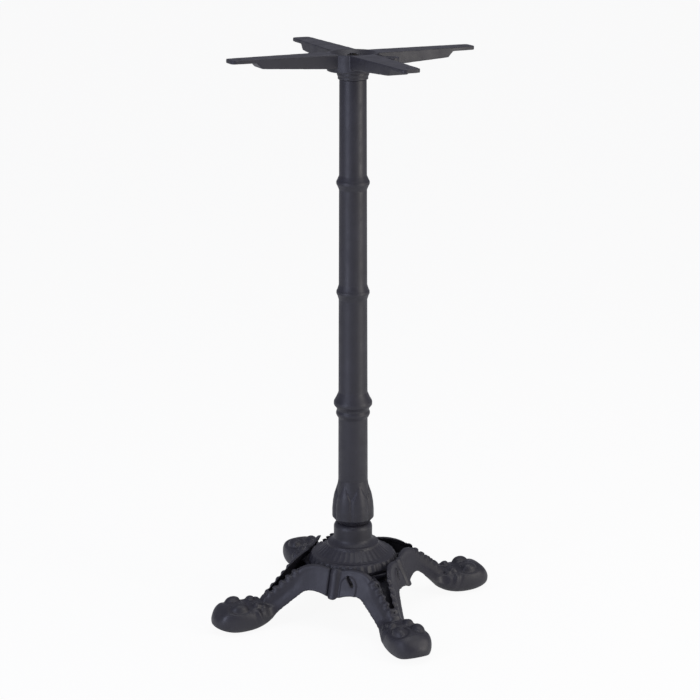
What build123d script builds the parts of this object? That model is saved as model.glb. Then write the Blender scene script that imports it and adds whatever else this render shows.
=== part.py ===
from build123d import *
import os
from math import atan2, cos, degrees, radians, sin, sqrt, tan

os.makedirs("parts", exist_ok=True)

# Overall sizes, in millimetres. The origin is on the floor under the column, +Z up.
HEIGHT = 1050.0            # floor to the top of the arms
ARM_REACH = 234.0          # column axis to an arm's tip
FOOT_REACH = 284.0         # column axis to a paw's toe
LEG_ANGLES = {"leg_right": 0, "leg_back": 90, "leg_left": 180, "leg_front": 270}
KEYED_LEGS = ("leg_back", "leg_front")

# Leg walls: each leans inwards and follows one wide arc in plan, from ankle to ankle
WALL = 6.0                 # wall thickness, measured level
WALL_LEAN = 0.44           # level shift of a wall for each millimetre of height
PANEL_REACH = 112.0        # column axis to a wall's face at the joint, at PANEL_LEVEL
PANEL_LEVEL = 60.0
ANKLE_BACK = 92.0          # a paw's toe to where the walls run out into it
ANKLE_HALF = 0.5           # half width over the walls there, at PANEL_LEVEL
HUMP_U = 89.0              # centre of the round hump of a leg's upper edge
HUMP_Z = 64.0
HUMP_RADIUS = 50.0
HUMP_SHARE = 0.75          # how much of the radius the hump keeps towards the column
SCALLOPS = 6               # scallops along each upper edge
SCALLOP_RISE = 3.2
ARCH_U = 107.0             # top of the arch under a leg
ARCH_Z = 69.5
ARCH_OUTER_RADIUS = 24.6   # towards the paw
ARCH_INNER_RADIUS = 38.0   # towards the joint
ARCH_SHARE = 0.87          # how much of that radius the arch keeps
LEG_FALL = 67.1            # fall of a leg's edges from the arch to the ankle
ANKLE_U = FOOT_REACH - ANKLE_BACK
SLOPE = degrees(atan2(LEG_FALL, ANKLE_U - ARCH_U))
RIM_WALL = 7.0             # thicker rim along a wall's upper edge
RIM_DEPTH = 8.0
JOINT_SHIFT = 11.0         # a keyed leg's walls run on past the corner by this, under the ridge
RIDGE_HALF = 9.0           # rounded ridge down each corner, half its width
RIDGE_RISE = 5.0
RIDGE_LOW = 59.0           # its blunt lower end
RIDGE_DROP = 2.0           # its upper end below the humps
FLANGE_WIDTH = 7.0         # joint flange behind the wall's end
FLANGE_DEPTH = 12.0
SPINE = 6.0                # web down the middle of a leg
SPINE_DROP = 14.0          # its top edge below the leg's upper edges
FLOOR = 5.0                # floor of the trough between the walls
FLOOR_RISE = 3.0           # above the walls' lower edge

# Slotted pad on a keyed leg's walls, measured along the wall from the joint
PAD_START = 13.0
PAD_WIDTH = 31.0
PAD_TOP = 102.0
PAD_RISE = 2.0
KEY_START = 30.0
KEY_LEVEL = 93.5
KEY_LENGTH = 21.0
KEY_WIDTH = 5.5
KEY_TILT = -51.0
KEY_DEPTH = 34.0           # slot's inner end behind the foot of the wall

# Paw foot, measured back from the toe: half width, underside and top of each section
PAW_SECTIONS = (
    (124.0, 24.0, 31.0, 44.0),
    (108.0, 30.0, 12.0, 43.5),
    (92.0, 34.0, 4.5, 44.5),
    (76.0, 37.0, 0.5, 46.0),
    (58.0, 38.5, -1.0, 49.5),
    (40.0, 38.5, -1.0, 51.0),
    (22.0, 34.5, 1.5, 49.0),
    (10.0, 27.0, 5.0, 41.0),
    (3.0, 16.5, 9.0, 31.0),
)
PAW_SQUARENESS = 0.8       # 1 gives ellipses, less gives squarer sections
PAW_SIDES = 14
TOE_Z = 18.0
LOBE_BACK = 49.0           # two round knuckles on top of the paw
LOBE_V = 18.0
LOBE_Z = 43.5
LOBE_RADIUS = 12.5
NOTCH_BACK = 66.5          # notch across the instep
NOTCH_Z = 53.0
NOTCH_RADIUS = 7.0
RUFFS = ((78.0, 18.0, 45.0, 7.0), (92.0, 18.0, 45.5, 6.5))  # beads: back, across, level, radius

# Seat inside the legs that carries the bell and is clamped from below
SEAT_TOP = 94.0
SEAT_THICKNESS = 8.0
SEAT_REACH = 84.0
SEAT_BORE = 18.0

# Bell: collar, plain bead, fluted cone and egg-band rim
NECK_Z = 174.0             # joint between bell and column
NECK_RADIUS = 29.5
COLLAR_RADIUS = 36.0
COLLAR_TOP = 163.0
COLLAR_LOW = 144.0
BEAD_RADIUS = 48.0
BEAD_Z = 131.5
FLUTE_END_RADIUS = 66.0
FLUTE_END_Z = 115.5
RIM_RADIUS = 85.0
BELL_WALL = 6.5
COLLAR_ROUND = 2.2         # bulge of the collar's shoulder and hollow of its foot
BEAD_SIZE = 3.5
FLUTES = 36
FLUTE_DEPTH = 1.9          # measured level, at the lower end
RIM_STEP = 1.5
RIM_SKIRT = 6.0            # plain foot of the rim
EGG_FALL = 7.0             # slope of the egg band, measured level
EGG_DEPTH = 2.2

# Column: straight taper with rings and a foot of leaf petals
COLUMN_FOOT_RADIUS = 27.8
COLUMN_TOP_RADIUS = 24.2
COLUMN_BORE = 18.0
COLLAR_JOINT = 47.0        # top of the column below the top of the arms
RINGS = ((818.5, 30.0, 13.0), (617.0, 30.2, 14.0))          # level, radius, half height
BULGE_Z = 407.0            # large ring with a small bead under it
BULGE_RADIUS = 35.5
BULGE_TOP = 427.0
WAIST_Z = 395.5
WAIST_RADIUS = 29.5
SMALL_BEAD_Z = 387.5
SMALL_BEAD_RADIUS = 31.4
BULGE_LOW = 379.0
PETALS = 6
PETAL_RADIUS = 39.5
PETAL_LOW = 185.0
PETAL_HIGH = 200.0
PETAL_TIP = 252.0
PETAL_VALLEY = 222.0
PETAL_CREASE = 0.92        # crease radius as a share of the petal's
SPIGOT_LENGTH = 12.0       # spigots that centre the column at both ends
SPIGOT_CLEARANCE = 0.3
BEAD_FLAT = 1.5            # half the flat on the small bead
RING_FLAT = 2.0            # half the flat on the larger rings
PETAL_SINK = 0.4           # petal tips run this far into the taper

# Top spider
TIP_THICKNESS = 6.5
TIP_LENGTH = 45.0
TIP_HALF_WIDTH = 17.0
TIP_CORNER = 8.0
ROOT_HALF_WIDTH = 25.0
ARM_DEPTH_OUTER = 17.0
ARM_DEPTH_INNER = 27.0
ARM_WALL = 6.0
SCREW_INSET = 20.0         # screw hole to the arm's tip
SCREW_RADIUS = 3.5
HUB_RADIUS = 46.0
HUB_DEPTH = 32.0
DISH_RADIUS = 42.0
DISH_FLOOR_RADIUS = 24.0
DISH_DEPTH = 18.0
EAR_TURNS = (135, 315)     # two lugs between the arms, with a long hole
EAR_REACH = 72.0
EAR_HALF_WIDTH = 13.0
EAR_DROP = 5.0
EAR_THICKNESS = 8.0
EAR_HOLE_LENGTH = 22.0
EAR_HOLE_WIDTH = 7.0
SPIDER_COLLAR_RADIUS = 27.0
SPIDER_LIP = 1.6
HUB_COVE = 5.0             # filling between the collar and the hub's underside

# Tie rod, clamp plate and fasteners
ROD_RADIUS = 6.0
ROD_HOLE_RADIUS = 7.0
THREAD_CLEARANCE = 0.1
CLAMP_RADIUS = 45.0
CLAMP_THICKNESS = 8.0
WASHER_RADIUS = 12.0
WASHER_THICKNESS = 2.5
SPRING_RADIUS = 10.5
SPRING_THICKNESS = 2.8
SPRING_GAP = 2.0
SPRING_CUT = 20.0          # slant of the cut, in degrees
NUT_FLATS = 19.0
NUT_HEIGHT = 10.0
ROD_END = 2.0              # rod standing out past each nut


def panel_radius():
    """Plan radius, at PANEL_LEVEL, of the arc that runs from ankle to ankle past the joint."""
    corner = PANEL_REACH / sqrt(2)
    span = ANKLE_U + ANKLE_HALF
    chord = 2 * corner**2 - 2 * corner * span + ANKLE_U**2 + ANKLE_HALF**2
    return chord / (sqrt(2) * span - 2 * sqrt(2) * corner)


def panel_cone(extra):
    """Round solid in the bay between two legs: its side is the wall's face, grown level by extra."""
    low = -WALL
    high = HUMP_Z + 2 * HUMP_RADIUS
    radius = panel_radius()
    low_radius = radius + WALL_LEAN * (low - PANEL_LEVEL) + extra
    high_radius = radius + WALL_LEAN * (high - PANEL_LEVEL) + extra
    cone = Cone(low_radius, high_radius, high - low, align=(Align.CENTER, Align.CENTER, Align.MIN))
    axis = (PANEL_REACH + radius) / sqrt(2)
    return Pos(axis, axis, low) * cone


def both_bays(extra):
    bay = panel_cone(extra)
    return bay + mirror(bay, Plane.XZ)


def sector(shift=0.0):
    """The quarter of the base that one leg fills, its sides moved out level by shift."""
    far = 2 * FOOT_REACH
    apex = -shift * sqrt(2)
    wedge = make_face(Polyline((apex, 0), (apex + far, far), (apex + far, -far), close=True))
    return extrude(wedge, HEIGHT)


def leg_band():
    """Side view of a leg's walls: humped, scalloped upper edge and arched lower edge."""
    turn = radians(SLOPE)
    along = Vector(cos(turn), -sin(turn))
    outward = Vector(sin(turn), cos(turn))
    inner_u = HUMP_U - HUMP_SHARE * HUMP_RADIUS
    hump_start = Vector(inner_u, HUMP_Z + sqrt(HUMP_RADIUS**2 - (HUMP_U - inner_u)**2))
    hump_top = Vector(HUMP_U, HUMP_Z + HUMP_RADIUS)
    hump_end = Vector(HUMP_U, HUMP_Z) + outward * HUMP_RADIUS
    edges = [ThreePointArc(hump_start, hump_top, hump_end)]
    pitch = (ANKLE_U - hump_end.X) / cos(turn) / SCALLOPS
    at = hump_end
    for _ in range(SCALLOPS):
        after = at + along * pitch
        edges.append(ThreePointArc(at, (at + after) * 0.5 + outward * SCALLOP_RISE, after))
        at = after
    arch_top = Vector(ARCH_U, ARCH_Z)
    low = arch_end()
    ankle_low = low + along * ((ANKLE_U - low.X) / cos(turn))
    edges.append(Line(at, ankle_low))
    edges.append(Line(ankle_low, low))
    edges.append(TangentArc(low, arch_top, tangent=-along))
    run = ARCH_SHARE * ARCH_INNER_RADIUS
    drop = ARCH_INNER_RADIUS - sqrt(ARCH_INNER_RADIUS**2 - run**2)
    arch_start = Vector(ARCH_U - run, ARCH_Z - drop)
    edges.append(TangentArc(arch_top, arch_start, tangent=Vector(-1, 0)))
    corner = Vector(inner_u, arch_start.Y)
    edges.append(Line(arch_start, corner))
    edges.append(Line(corner, hump_start))
    return extrude(Plane.XZ * make_face(Wire(edges)), FOOT_REACH, both=True)


def walls_outline(band, shift):
    """What of the band one leg holds. Past its corner it follows the neighbour's outline."""
    if shift < 0:
        return band & sector(shift)
    neighbours = Rot(0, 0, 90) * band + Rot(0, 0, -90) * band
    return (band & sector()) + (neighbours & (sector(shift) - sector()))


def arch_end():
    """Where the arch under a leg runs into the straight fall to the paw."""
    turn = radians(SLOPE)
    return Vector(ARCH_U + ARCH_OUTER_RADIUS * sin(turn), ARCH_Z + ARCH_OUTER_RADIUS * (cos(turn) - 1))


def trough():
    """Floor between the walls, closed towards the seat, and the web that stands on it."""
    turn = radians(SLOPE)
    bend = Vector(HUMP_U, HUMP_Z) + Vector(sin(turn), cos(turn)) * (HUMP_RADIUS - SPINE_DROP)
    fall = (ANKLE_U - bend.X) * tan(turn)
    low = arch_end() + Vector(0, FLOOR_RISE)
    low_end = low.Y - (ANKLE_U - low.X) * tan(turn)
    start = SEAT_REACH - 2 * FLOOR
    under = ARCH_Z + FLOOR_RISE
    seat_low = SEAT_TOP - SEAT_THICKNESS
    apron_top = SEAT_TOP - SEAT_THICKNESS / 2
    side = make_face(Polyline(
        (CLAMP_RADIUS + WALL, seat_low), (SEAT_REACH, SEAT_TOP), (HUMP_U, SEAT_TOP), bend,
        (ANKLE_U, bend.Y - fall), (ANKLE_U, low_end), low, (start, under), close=True,
    ))
    bed = make_face(Polyline(
        (start, under), (ARCH_U, under), low, (ANKLE_U, low_end), (ANKLE_U, low_end + FLOOR),
        (low.X, low.Y + FLOOR), (ARCH_U, under + FLOOR), (start + FLOOR, under + FLOOR),
        (start + FLOOR, apron_top), (start, apron_top), close=True,
    ))
    web = extrude(Plane.XZ * side, SPINE / 2, both=True)
    return web + ((extrude(Plane.XZ * bed, FOOT_REACH, both=True) & sector(-JOINT_SHIFT)) - both_bays(0))


def joint_plane():
    """Upright plane across the joint: x runs along the wall into the leg, y up, z inwards."""
    return Plane(origin=(0, 0, 0), x_dir=(1, -1, 0), z_dir=(-1, -1, 0))


def joint_ridge():
    """Rounded ridge that follows the lean of the wall down the corner."""
    top = HUMP_Z + HUMP_RADIUS - RIDGE_DROP
    low = RIDGE_LOW
    reach_top = (PANEL_REACH - WALL_LEAN * (top - PANEL_LEVEL)) / sqrt(2)
    reach_low = (PANEL_REACH - WALL_LEAN * (low - PANEL_LEVEL)) / sqrt(2)
    path = Line((reach_low, reach_low, low), (reach_top, reach_top, top))
    return sweep(Plane(path @ 0, x_dir=(1, -1, 0), z_dir=path % 0) * Ellipse(RIDGE_HALF, RIDGE_RISE), path)


def joint_flange(walls, shift):
    """Flange behind the wall's end, flat against the neighbour's flange."""
    outline = Pos(FLANGE_WIDTH / 2 - shift, SEAT_TOP / 2) * Rectangle(FLANGE_WIDTH, SEAT_TOP)
    strip = extrude(joint_plane() * outline, -FOOT_REACH)
    return (strip & walls & panel_cone(FLANGE_DEPTH)) - panel_cone(0)


def pad_blank(band):
    middle = PAD_START + PAD_WIDTH / 2
    square_top = PAD_TOP - PAD_WIDTH / 2
    outline = Pos(middle, square_top / 2) * Rectangle(PAD_WIDTH, square_top)
    outline += Pos(middle, square_top) * Circle(PAD_WIDTH / 2)
    prism = extrude(joint_plane() * outline, -FOOT_REACH)
    return (prism & band & panel_cone(WALL / 2)) - panel_cone(-PAD_RISE)


def key_slot():
    outline = Pos(KEY_START, KEY_LEVEL) * Rot(0, 0, KEY_TILT) * SlotOverall(KEY_LENGTH, KEY_WIDTH)
    inside = joint_plane().offset(KEY_DEPTH - PANEL_REACH)
    return extrude(inside * outline, -FOOT_REACH)


def paw_section(back, half_width, low, high):
    """Rounded many-sided section across the paw, on an upright plane square to the leg."""
    points = []
    for step in range(PAW_SIDES):
        turn = radians(360 * (step + 0.5) / PAW_SIDES)
        across = abs(cos(turn)) ** PAW_SQUARENESS * (1 if cos(turn) > 0 else -1)
        rise = abs(sin(turn)) ** PAW_SQUARENESS * (1 if sin(turn) > 0 else -1)
        level = (low + high) / 2 + rise * (high - low) / 2
        points.append((FOOT_REACH - back, across * half_width, level))
    return make_face(Polyline(*points, close=True))


def paw():
    """Lion-like paw: blunt round toe, two knuckles on top, instep notch and beads at the ankle."""
    sections = [paw_section(*section) for section in PAW_SECTIONS]
    body = loft(sections + [Vertex(FOOT_REACH, 0, TOE_Z)], ruled=True)
    body -= Pos(FOOT_REACH - NOTCH_BACK, 0, NOTCH_Z) * Rot(90, 0, 0) * Cylinder(NOTCH_RADIUS, 2 * FOOT_REACH)
    for side in (1, -1):
        body += Pos(FOOT_REACH - LOBE_BACK, side * LOBE_V, LOBE_Z) * Sphere(LOBE_RADIUS)
        for back, across, level, radius in RUFFS:
            body += Pos(FOOT_REACH - back, side * across, level) * Sphere(radius)
    return split(body, Plane.XY, keep=Keep.TOP)


def seat_plate(shift):
    """Inner flange of a leg, bored for the rod: the bell stands on it."""
    slab = Box(SEAT_REACH, 2 * SEAT_REACH, SEAT_THICKNESS)
    slab = Pos(SEAT_REACH / 2, 0, SEAT_TOP - SEAT_THICKNESS / 2) * slab
    return ((slab & sector(shift)) - both_bays(0)) - Cylinder(SEAT_BORE, HEIGHT)


def leg(keyed):
    """One leg casting, pointing along +X."""
    shift = JOINT_SHIFT if keyed else -JOINT_SHIFT
    band = leg_band()
    walls = walls_outline(band, shift)
    turn = radians(SLOPE)
    lower = Pos(-RIM_DEPTH * sin(turn), 0, -RIM_DEPTH * cos(turn)) * band
    rim = walls - walls_outline(lower, shift + WALL)
    body = (walls - both_bays(0)) & both_bays(WALL)
    body += (rim - both_bays(0)) & both_bays(RIM_WALL)
    joint = joint_flange(walls, shift)
    if keyed:
        joint += joint_ridge()
        joint += pad_blank(band)
    body += joint
    body += mirror(joint, Plane.XZ)
    body += trough()
    body += seat_plate(shift)
    body += paw()
    if keyed:
        slot = key_slot()
        body -= slot
        body -= mirror(slot, Plane.XZ)
    return body


def pleated(low, high, depth, shift):
    """Pleated cone from low to high, both (radius, level): ridges at the full radius, valleys in by depth."""
    faces = []
    for radius, level in (low, high):
        points = []
        for step in range(2 * FLUTES):
            turn = radians((step + shift) * 180 / FLUTES)
            reach = radius * (1 - depth / low[0] * (step % 2))
            points.append((reach * cos(turn), reach * sin(turn), level))
        faces.append(make_face(Polyline(*points, close=True)))
    return loft(faces, ruled=True)


def bell():
    """Fluted dome over the legs, hollow below, with a spigot for the column."""
    bore = ROD_HOLE_RADIUS
    spigot = COLUMN_BORE - SPIGOT_CLEARANCE
    spigot_top = NECK_Z + SPIGOT_LENGTH
    bead = (BEAD_RADIUS, BEAD_Z + BEAD_SIZE)
    core = FLUTE_DEPTH + RIM_STEP
    rim_top = FLUTE_END_Z - RIM_STEP
    egg_low = SEAT_TOP + RIM_SKIRT
    egg_core = EGG_DEPTH + RIM_STEP
    outline = [
        Polyline((0, spigot_top), (spigot, spigot_top), (spigot, NECK_Z), (NECK_RADIUS, NECK_Z)),
        SagittaArc((NECK_RADIUS, NECK_Z), (COLLAR_RADIUS, COLLAR_TOP), COLLAR_ROUND),
        Line((COLLAR_RADIUS, COLLAR_TOP), (COLLAR_RADIUS, COLLAR_LOW)),
        SagittaArc((COLLAR_RADIUS, COLLAR_LOW), bead, -COLLAR_ROUND),
        Polyline(
            bead, (BEAD_RADIUS, BEAD_Z), (BEAD_RADIUS - core, BEAD_Z), (FLUTE_END_RADIUS - core, FLUTE_END_Z),
            (FLUTE_END_RADIUS + RIM_STEP, FLUTE_END_Z), (FLUTE_END_RADIUS + 2 * RIM_STEP, rim_top),
            (RIM_RADIUS - EGG_FALL - egg_core, rim_top), (RIM_RADIUS - egg_core, egg_low),
            (RIM_RADIUS - EGG_DEPTH, egg_low - RIM_STEP), (RIM_RADIUS - EGG_DEPTH, SEAT_TOP), (0, SEAT_TOP),
            (0, spigot_top),
        ),
    ]
    body = revolve(Plane.XZ * make_face(Wire([edge for part in outline for edge in part.edges()])), Axis.Z)
    fall = (FLUTE_END_RADIUS - BEAD_RADIUS) / (BEAD_Z - FLUTE_END_Z)
    sink = RIM_STEP / 2
    body += pleated((FLUTE_END_RADIUS + fall * sink, FLUTE_END_Z - sink),
                    (BEAD_RADIUS - fall * sink, BEAD_Z + sink), FLUTE_DEPTH, 0)
    body += pleated((RIM_RADIUS, egg_low), (RIM_RADIUS - EGG_FALL, rim_top - sink), EGG_DEPTH, 1)
    hollow = Polyline(
        (0, SEAT_TOP), (RIM_RADIUS - EGG_DEPTH - BELL_WALL, SEAT_TOP),
        (FLUTE_END_RADIUS - BELL_WALL - core, FLUTE_END_Z - BELL_WALL),
        (BEAD_RADIUS - BELL_WALL - core, BEAD_Z - BELL_WALL),
        (COLLAR_RADIUS - BELL_WALL - core, COLLAR_LOW - BELL_WALL),
        (COLLAR_RADIUS - BELL_WALL - core, COLLAR_TOP), (0, COLLAR_TOP), close=True,
    )
    body -= revolve(Plane.XZ * make_face(hollow), Axis.Z)
    return body - Cylinder(bore, 2 * spigot_top)


def taper_radius(level):
    top = HEIGHT - COLLAR_JOINT
    return COLUMN_FOOT_RADIUS + (COLUMN_TOP_RADIUS - COLUMN_FOOT_RADIUS) * (level - NECK_Z) / (top - NECK_Z)


def rosette(radius, level):
    """Section of the petal foot: a keel down each petal, creases between them."""
    points = []
    for corner in range(2 * PETALS):
        reach = radius if corner % 2 else PETAL_CREASE * radius
        turn = radians(180 * corner / PETALS)
        points.append((reach * cos(turn), reach * sin(turn), level))
    return make_face(Polyline(*points, close=True))


def petal_foot():
    """Six pointed leaves standing out from the foot of the column."""
    levels = ((NECK_RADIUS, NECK_Z), (PETAL_RADIUS, PETAL_LOW), (PETAL_RADIUS, PETAL_HIGH),
              (taper_radius(PETAL_TIP) - PETAL_SINK, PETAL_TIP))
    body = loft([rosette(radius, level) for radius, level in levels], ruled=True)
    half = PETAL_RADIUS * tan(radians(180 / PETALS))
    above = 2 * PETAL_TIP - PETAL_VALLEY
    notch = make_face(Polyline((0, PETAL_VALLEY), (2 * half, above), (-2 * half, above), close=True))
    cutter = extrude(Plane.XZ * notch, 2 * PETAL_RADIUS)
    body -= [place * cutter for place in PolarLocations(0, PETALS, start_angle=180 / PETALS)]
    return body


def column():
    """Hollow tapered casting with its rings and petal foot."""
    top = HEIGHT - COLLAR_JOINT
    outline = [(COLUMN_BORE, NECK_Z), (taper_radius(NECK_Z), NECK_Z)]
    outline += [(taper_radius(BULGE_LOW), BULGE_LOW), (SMALL_BEAD_RADIUS, SMALL_BEAD_Z - BEAD_FLAT)]
    outline += [(SMALL_BEAD_RADIUS, SMALL_BEAD_Z + BEAD_FLAT), (WAIST_RADIUS, WAIST_Z)]
    outline += [(BULGE_RADIUS, BULGE_Z - RING_FLAT), (BULGE_RADIUS, BULGE_Z + RING_FLAT)]
    outline += [(taper_radius(BULGE_TOP), BULGE_TOP)]
    for level, radius, half in sorted(RINGS):
        outline += [(taper_radius(level - half), level - half), (radius, level - RING_FLAT)]
        outline += [(radius, level + RING_FLAT), (taper_radius(level + half), level + half)]
    outline += [(COLUMN_TOP_RADIUS, top), (COLUMN_BORE, top)]
    body = revolve(Plane.XZ * make_face(Polyline(*outline, close=True)), Axis.Z)
    return (body + petal_foot()) - Cylinder(COLUMN_BORE, 4 * HEIGHT)


def arm_plan(inset):
    """Plan of one arm, narrowing to its tip, drawn in by inset on both sides."""
    root = ROOT_HALF_WIDTH - inset
    tip = TIP_HALF_WIDTH - inset
    return make_face(Polyline((0, root), (ARM_REACH, tip), (ARM_REACH, -tip), (0, -root), close=True))


def arm():
    """One arm along +X: thin tip, stepped down to a channel that deepens to the hub."""
    step = ARM_REACH - TIP_LENGTH
    chamfer = ARM_DEPTH_OUTER - TIP_THICKNESS
    low = HEIGHT - ARM_DEPTH_INNER
    side = make_face(Polyline(
        (0, HEIGHT), (ARM_REACH, HEIGHT), (ARM_REACH, HEIGHT - TIP_THICKNESS), (step, HEIGHT - TIP_THICKNESS),
        (step - chamfer, HEIGHT - ARM_DEPTH_OUTER), (0, low), close=True,
    ))
    plan = arm_plan(0)
    tips = [corner for corner in plan.vertices() if corner.X > ARM_REACH - 1]
    plan = fillet(tips, TIP_CORNER)
    body = extrude(plan, HEIGHT) & extrude(Plane.XZ * side, ARM_REACH, both=True)
    channel = extrude(arm_plan(ARM_WALL), HEIGHT - TIP_THICKNESS)
    channel = split(channel, Plane.YZ.offset(step - chamfer - ARM_WALL / 2), keep=Keep.BOTTOM)
    screw = Pos(ARM_REACH - SCREW_INSET, 0, HEIGHT) * Cylinder(SCREW_RADIUS, 4 * TIP_THICKNESS)
    return body - channel - screw


def ear():
    """Lug on the line between two arms, a little below their top, with a long hole."""
    half = EAR_HALF_WIDTH
    plan = Pos(EAR_REACH / 2, 0) * Rectangle(EAR_REACH, 2 * half) + Pos(EAR_REACH, 0) * Circle(half)
    plan -= Pos(EAR_REACH - half / 4, 0) * SlotOverall(EAR_HOLE_LENGTH, EAR_HOLE_WIDTH)
    return Pos(0, 0, HEIGHT - EAR_DROP - EAR_THICKNESS) * extrude(plan, EAR_THICKNESS)


def top_spider():
    """Cross casting that carries the top, with a dish for the nut and a collar on the column."""
    body = Pos(0, 0, HEIGHT - HUB_DEPTH / 2) * Cylinder(HUB_RADIUS, HUB_DEPTH)
    for turn in range(0, 360, 90):
        body += Rot(0, 0, turn) * arm()
    for turn in EAR_TURNS:
        body += Rot(0, 0, turn) * ear()
    joint = HEIGHT - COLLAR_JOINT
    hub_low = HEIGHT - HUB_DEPTH
    collar = SPIDER_COLLAR_RADIUS
    spigot = COLUMN_BORE - SPIGOT_CLEARANCE
    lip = (joint + hub_low) / 2
    body += revolve(Plane.XZ * make_face(Polyline(
        (0, joint - SPIGOT_LENGTH), (spigot, joint - SPIGOT_LENGTH), (spigot, joint),
        (collar, joint), (collar, lip), (collar + SPIDER_LIP, lip), (collar + SPIDER_LIP, hub_low),
        (HUB_RADIUS - HUB_COVE, hub_low + HUB_COVE), (0, hub_low + HUB_COVE), close=True,
    )), Axis.Z)
    dish = Cone(DISH_FLOOR_RADIUS, DISH_RADIUS, DISH_DEPTH)
    body -= Pos(0, 0, HEIGHT - DISH_DEPTH / 2) * dish
    return body - Cylinder(ROD_HOLE_RADIUS, 4 * HEIGHT)


def disc(radius, hole, thickness, low):
    return Pos(0, 0, low + thickness / 2) * (Cylinder(radius, thickness) - Cylinder(hole, thickness))


def spring_washer(low):
    ring = disc(SPRING_RADIUS, ROD_HOLE_RADIUS, SPRING_THICKNESS, low)
    cut = Rot(0, 0, SPRING_CUT) * Box(SPRING_RADIUS, SPRING_GAP, 3 * SPRING_THICKNESS)
    return ring - Pos(SPRING_RADIUS, 0, low) * cut


def hex_nut(low):
    blank = extrude(RegularPolygon(NUT_FLATS / 2, 6, major_radius=False), NUT_HEIGHT)
    blank -= Cylinder(ROD_RADIUS + THREAD_CLEARANCE, 4 * NUT_HEIGHT)
    return Pos(0, 0, low) * blank


castings = {True: leg(keyed=True), False: leg(keyed=False)}
for name, angle in LEG_ANGLES.items():
    export_step(Rot(0, 0, angle) * castings[name in KEYED_LEGS], f"parts/{name}.step")
export_step(bell(), "parts/bell.step")
export_step(column(), "parts/column.step")
export_step(top_spider(), "parts/top_spider.step")

clamp_top = SEAT_TOP - SEAT_THICKNESS
clamp_low = clamp_top - CLAMP_THICKNESS
low_spring = clamp_low - WASHER_THICKNESS - SPRING_THICKNESS
low_nut = low_spring - NUT_HEIGHT
dish_floor = HEIGHT - DISH_DEPTH
high_spring = dish_floor + WASHER_THICKNESS
high_nut = high_spring + SPRING_THICKNESS
rod_low = low_nut - ROD_END
rod_high = high_nut + NUT_HEIGHT + ROD_END

export_step(disc(CLAMP_RADIUS, ROD_HOLE_RADIUS, CLAMP_THICKNESS, clamp_low), "parts/clamp_plate.step")
low_washer = disc(WASHER_RADIUS, ROD_HOLE_RADIUS, WASHER_THICKNESS, clamp_low - WASHER_THICKNESS)
export_step(low_washer, "parts/bottom_washer.step")
export_step(spring_washer(low_spring), "parts/bottom_spring_washer.step")
export_step(hex_nut(low_nut), "parts/bottom_nut.step")
export_step(disc(WASHER_RADIUS, ROD_HOLE_RADIUS, WASHER_THICKNESS, dish_floor), "parts/top_washer.step")
export_step(spring_washer(high_spring), "parts/top_spring_washer.step")
export_step(hex_nut(high_nut), "parts/top_nut.step")
rod = Pos(0, 0, (rod_low + rod_high) / 2) * Cylinder(ROD_RADIUS, rod_high - rod_low)
export_step(rod, "parts/tie_rod.step")
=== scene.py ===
"""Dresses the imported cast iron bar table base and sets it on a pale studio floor."""

from math import cos, exp, inf, pi, radians, sin
from typing import NamedTuple

import bmesh
import bpy
from bpy.props import FloatProperty, FloatVectorProperty, IntProperty, PointerProperty
from bpy.types import Operator, Panel, PropertyGroup
from mathutils import Matrix, Vector, kdtree


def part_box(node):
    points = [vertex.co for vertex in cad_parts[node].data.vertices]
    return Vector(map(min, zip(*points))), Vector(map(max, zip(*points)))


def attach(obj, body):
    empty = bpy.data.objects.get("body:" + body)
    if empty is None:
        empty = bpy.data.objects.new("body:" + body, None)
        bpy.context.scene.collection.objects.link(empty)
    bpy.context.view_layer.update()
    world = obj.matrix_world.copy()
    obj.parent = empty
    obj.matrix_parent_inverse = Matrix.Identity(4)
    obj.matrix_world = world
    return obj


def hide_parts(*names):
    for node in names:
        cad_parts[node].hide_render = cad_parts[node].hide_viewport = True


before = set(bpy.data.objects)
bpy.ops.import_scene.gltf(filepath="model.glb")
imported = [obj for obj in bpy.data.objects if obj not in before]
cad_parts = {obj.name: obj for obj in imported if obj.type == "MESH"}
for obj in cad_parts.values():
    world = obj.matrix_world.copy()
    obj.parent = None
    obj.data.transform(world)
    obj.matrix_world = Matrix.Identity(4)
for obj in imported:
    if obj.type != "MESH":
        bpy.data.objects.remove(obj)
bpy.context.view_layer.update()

bl_info = {
    "name": "Bar table base",
    "version": (1, 0, 0),
    "blender": (4, 5, 0),
    "location": "3D View > Sidebar > Table base",
    "description": "Sand-cast skins, finishes and studio for a cast iron bar table base",
    "category": "Object",
}

MM = 0.001
LEGS = {"leg_right": 0, "leg_back": 90, "leg_left": 180, "leg_front": 270}
STEEL_NODES = ("tie_rod", "clamp_plate", "top_washer", "top_spring_washer", "top_nut",
               "bottom_washer", "bottom_spring_washer", "bottom_nut")


class Bump(NamedTuple):
    """A soft ridge along the line at middle, or a groove where its height is below 0."""
    height: float
    middle: float
    width: float

    def at(self, distance):
        return self.height * exp(-((distance - self.middle) / self.width) ** 2)


# Form of a leg in millimetres, as in the CAD: distance out along the leg, across it, and level
SLOPE = radians(38.3)                 # fall of the upper edge
HUMP = (89.0, 64.0, 50.0)             # round start of that edge: out, level and radius
ANKLE = 192.0                         # where the walls run out into the paw
SCALLOPS = 6                          # along each edge
SCALLOP_PITCH = (ANKLE - HUMP[0] - HUMP[2] * sin(SLOPE)) / cos(SLOPE) / SCALLOPS
WALL_CENTRE = 504.0                   # column axis to the centre of a wall's arc, on the diagonal
WALL_ARC = 392.0                      # radius of that arc at WALL_LEVEL
WALL_LEVEL = 60.0
WALL_LEAN = 0.44                      # level shift of a wall for each millimetre of height

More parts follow.
